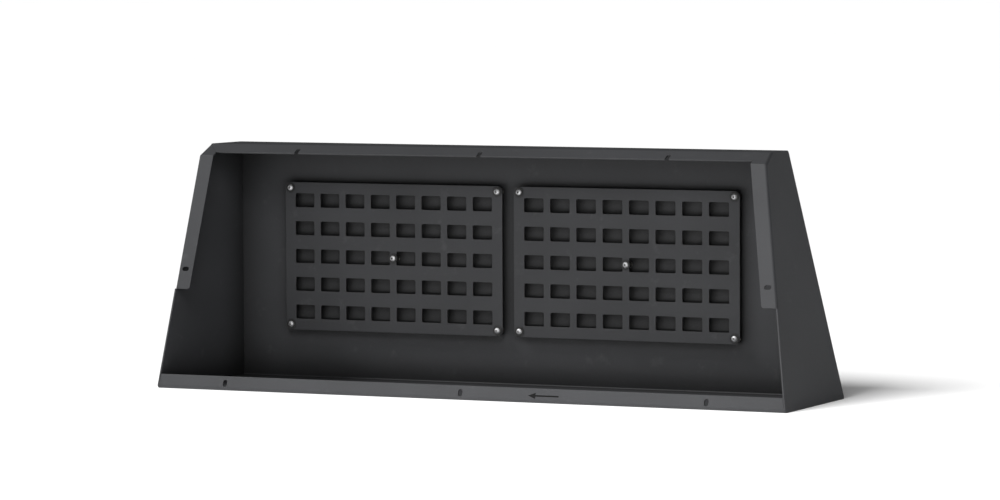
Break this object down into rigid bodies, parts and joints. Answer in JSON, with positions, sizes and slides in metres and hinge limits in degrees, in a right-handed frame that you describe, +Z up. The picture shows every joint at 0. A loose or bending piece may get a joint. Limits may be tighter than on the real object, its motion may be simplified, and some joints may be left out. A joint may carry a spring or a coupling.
{
  "type": "vehicle side window storage box",
  "caption": "Open-fronted folded sheet storage box with a sloping front flange, raked end, bevelled roof edge and two slotted grid panels stood off its back wall.",
  "frame": {"origin": "centre of the bounding box's footprint, on the surface that the base rests on", "axes": "+Z up; the open front faces -Y; +X to the right of someone facing the front, along the base"},
  "size_m": [1.2048, 0.286, 0.43],
  "materials": {
    "body_black": "matte fine-texture powder coat",
    "panel_black": "matte fine-texture powder coat",
    "black_nylon": "matte moulded",
    "stainless": "satin",
    "zinc_steel": "bright zinc plate"
  },
  "bodies": {
    "root": {"folded_body": "body_black", "left_end": "body_black", "right_end": "body_black", "left_grid_panel": "panel_black", "right_grid_panel": "panel_black", "left_corner_screws": "stainless", "left_centre_screw": "stainless", "left_corner_washers": "black_nylon", "left_centre_washer": "black_nylon", "left_corner_spacers": "black_nylon", "left_centre_spacer": "black_nylon", "left_corner_rivet_nuts": "zinc_steel", "left_centre_rivet_nut": "zinc_steel", "right_corner_screws": "stainless", "right_centre_screw": "stainless", "right_corner_washers": "black_nylon", "right_centre_washer": "black_nylon", "right_corner_spacers": "black_nylon", "right_centre_spacer": "black_nylon", "right_corner_rivet_nuts": "zinc_steel", "right_centre_rivet_nut": "zinc_steel"}
  },
  "joints": []
}
